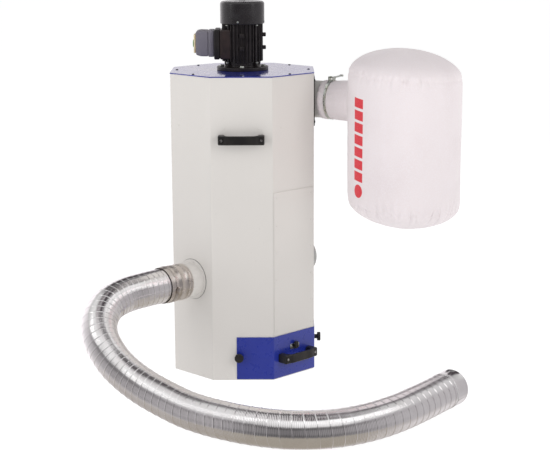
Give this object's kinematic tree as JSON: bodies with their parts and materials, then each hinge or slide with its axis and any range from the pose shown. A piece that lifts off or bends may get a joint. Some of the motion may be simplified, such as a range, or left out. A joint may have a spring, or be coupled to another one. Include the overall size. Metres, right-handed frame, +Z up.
{
  "type": "dust collector",
  "caption": "Floor-standing octagonal sheet-metal dust collector with a vertical motor, side filter bag, corner chip drawer and flexible inlet duct.",
  "frame": {"origin": "centre of the cabinet's underside on the floor, on the motor's axis", "axes": "+Z up along the cabinet and motor axis, -Y out of the front with the handle, +X to the filter bag side"},
  "size_m": [1.1348, 1.156, 1.152],
  "materials": {
    "cabinet_paint": "satin",
    "blue_paint": "gloss",
    "black_paint": "satin",
    "motor_castings": "satin",
    "black_plastic": "satin",
    "grey_plastic": "satin",
    "cap_plastic": "satin",
    "start_green": "satin",
    "stop_red": "satin",
    "bag_cloth": "matte",
    "duct_aluminium": "polished",
    "zinc_steel": "satin",
    "plain_steel": "satin",
    "wheel_alloy": "satin"
  },
  "bodies": {
    "cabinet": {"cabinet_shell": "cabinet_paint", "base_pan": "cabinet_paint", "access_panel": "cabinet_paint", "fan_partition": "cabinet_paint", "fan_scroll": "plain_steel", "inlet_cone": "plain_steel", "top_plate": "blue_paint", "left_inlet_spigot": "cabinet_paint", "rear_inlet_spigot": "cabinet_paint", "outlet_plate": "black_paint", "outlet_spigot": "cabinet_paint", "filter_bag": "bag_cloth", "bag_clamp_band": "zinc_steel", "inlet_hose": "duct_aluminium", "hose_cuff": "duct_aluminium", "hose_clamp": "zinc_steel", "hose_end_collar": "duct_aluminium", "front_handle": "black_plastic", "front_handle_left_screw": "zinc_steel", "front_handle_right_screw": "zinc_steel", "rear_handle": "black_plastic", "rear_handle_left_screw": "zinc_steel", "rear_handle_right_screw": "zinc_steel", "motor_flange": "motor_castings", "flange_bolt_1": "zinc_steel", "flange_bolt_2": "zinc_steel", "flange_bolt_3": "zinc_steel", "flange_bolt_4": "zinc_steel", "motor_housing": "motor_castings", "stator_core": "plain_steel", "front_bearing": "plain_steel", "rear_bearing": "plain_steel", "motor_rear_shield": "motor_castings", "fan_cowl": "black_paint", "terminal_box": "motor_castings", "terminal_box_lid": "black_plastic", "switch_housing": "grey_plastic", "switch_cover": "grey_plastic", "cable_gland": "black_plastic"},
    "rotor": {"motor_shaft": "plain_steel", "rotor_core": "plain_steel", "cooling_fan": "black_plastic", "impeller": "wheel_alloy", "impeller_bolt": "zinc_steel"},
    "drawer": {"drawer_front": "blue_paint", "drawer_bin": "plain_steel", "drawer_handle": "black_plastic", "drawer_handle_left_screw": "zinc_steel", "drawer_handle_right_screw": "zinc_steel", "catch_plate": "zinc_steel", "catch_left_screw": "zinc_steel", "catch_right_screw": "zinc_steel"},
    "left_knob_body": {"left_knob": "black_plastic"},
    "right_knob_body": {"right_knob": "black_plastic"},
    "catch": {"drawer_catch": "black_plastic"},
    "start": {"start_button": "start_green"},
    "stop": {"stop_button": "stop_red"},
    "rear_cap": {"rear_inlet_cap": "cap_plastic"},
    "lever": {"clamp_lever": "zinc_steel"}
  },
  "joints": [
    {"name": "rotor_spin", "type": "hinge", "parent": "cabinet", "child": "rotor", "pos_m": [0, 0, 1], "axis": [0, 0, 1], "continuous": true},
    {"name": "drawer_slide", "type": "slide", "parent": "cabinet", "child": "drawer", "axis": [0.7071, -0.7071, 0], "range_m": [0, 0.34]},
    {"name": "left_knob_turn", "type": "hinge", "parent": "drawer", "child": "left_knob_body", "pos_m": [-0.0125, -0.222, 0.075], "axis": [0, -1, 0], "continuous": true},
    {"name": "right_knob_turn", "type": "hinge", "parent": "drawer", "child": "right_knob_body", "pos_m": [0.222, 0.0125, 0.075], "axis": [1, 0, 0], "continuous": true},
    {"name": "catch_turn", "type": "hinge", "parent": "drawer", "child": "catch", "pos_m": [0.15816, -0.15816, 0.093], "axis": [0.7071, -0.7071, 0], "range_deg": [0, 90]},
    {"name": "start_press", "type": "slide", "parent": "cabinet", "child": "start", "axis": [1, 0, 0], "range_m": [0, 0.003], "stiffness_N_per_m": 300, "springref_m": -0.002},
    {"name": "stop_press", "type": "slide", "parent": "cabinet", "child": "stop", "axis": [1, 0, 0], "range_m": [0, 0.003], "stiffness_N_per_m": 300, "springref_m": -0.002},
    {"name": "rear_cap_pull", "type": "slide", "parent": "cabinet", "child": "rear_cap", "axis": [0.7071, 0.7071, 0], "range_m": [0, 0.06]},
    {"name": "clamp_lever_open", "type": "hinge", "parent": "cabinet", "child": "lever", "pos_m": [0.27981, -0.03005, 0.917], "axis": [0.8829, -0.4695, 0], "range_deg": [0, 120]}
  ]
}
